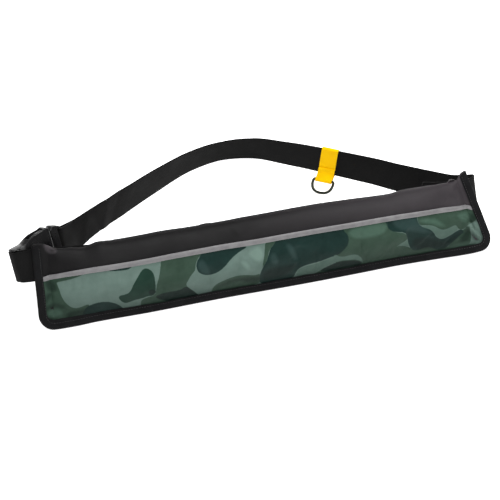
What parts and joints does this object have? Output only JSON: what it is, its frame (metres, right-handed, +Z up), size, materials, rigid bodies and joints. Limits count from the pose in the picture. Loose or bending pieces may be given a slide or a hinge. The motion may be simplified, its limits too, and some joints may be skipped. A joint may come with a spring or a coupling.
{
  "type": "inflatable life vest belt pack",
  "caption": "Stuffed cloth pouch for a folded inflatable life vest, sewn on a webbing waist belt with a side-release buckle and a webbing loop that carries a D-ring.",
  "frame": {"origin": "middle of the underside of the part's box, on the surface it lies on", "axes": "+X along the pouch towards the end where the belt is sewn on without a buckle, +Y from the pouch's front towards the belt's far bend, +Z up from the surface"},
  "size_m": [0.5808, 0.2372, 0.0958],
  "materials": {
    "camouflage_cloth": "coated woven cloth, camouflage print",
    "black_cloth": "coated woven cloth, matt black",
    "reflective_strip": "grey reflective tape, satin",
    "binding_tape": "ribbed woven tape, matt black",
    "belt_webbing": "woven webbing, matt black",
    "buckle_plastic": "moulded black, satin",
    "yellow_webbing": "woven webbing, yellow",
    "ring_metal": "dark gunmetal, half gloss"
  },
  "bodies": {
    "belt_pack": {"front_panel": "camouflage_cloth", "black_shell": "black_cloth", "reflective_piping": "reflective_strip", "edge_binding": "binding_tape", "belt_strap": "belt_webbing", "belt_tab": "belt_webbing", "buckle_socket": "buckle_plastic", "buckle_plug": "buckle_plastic", "yellow_loop": "yellow_webbing"},
    "d_ring": {"d_ring": "ring_metal"}
  },
  "joints": [
    {"name": "d_ring_swing", "type": "hinge", "parent": "belt_pack", "child": "d_ring", "pos_m": [0.12489, 0.03565, 0.01242], "axis": [-0.7928, 0.6027, -0.0907], "range_deg": [-50, 115]}
  ]
}
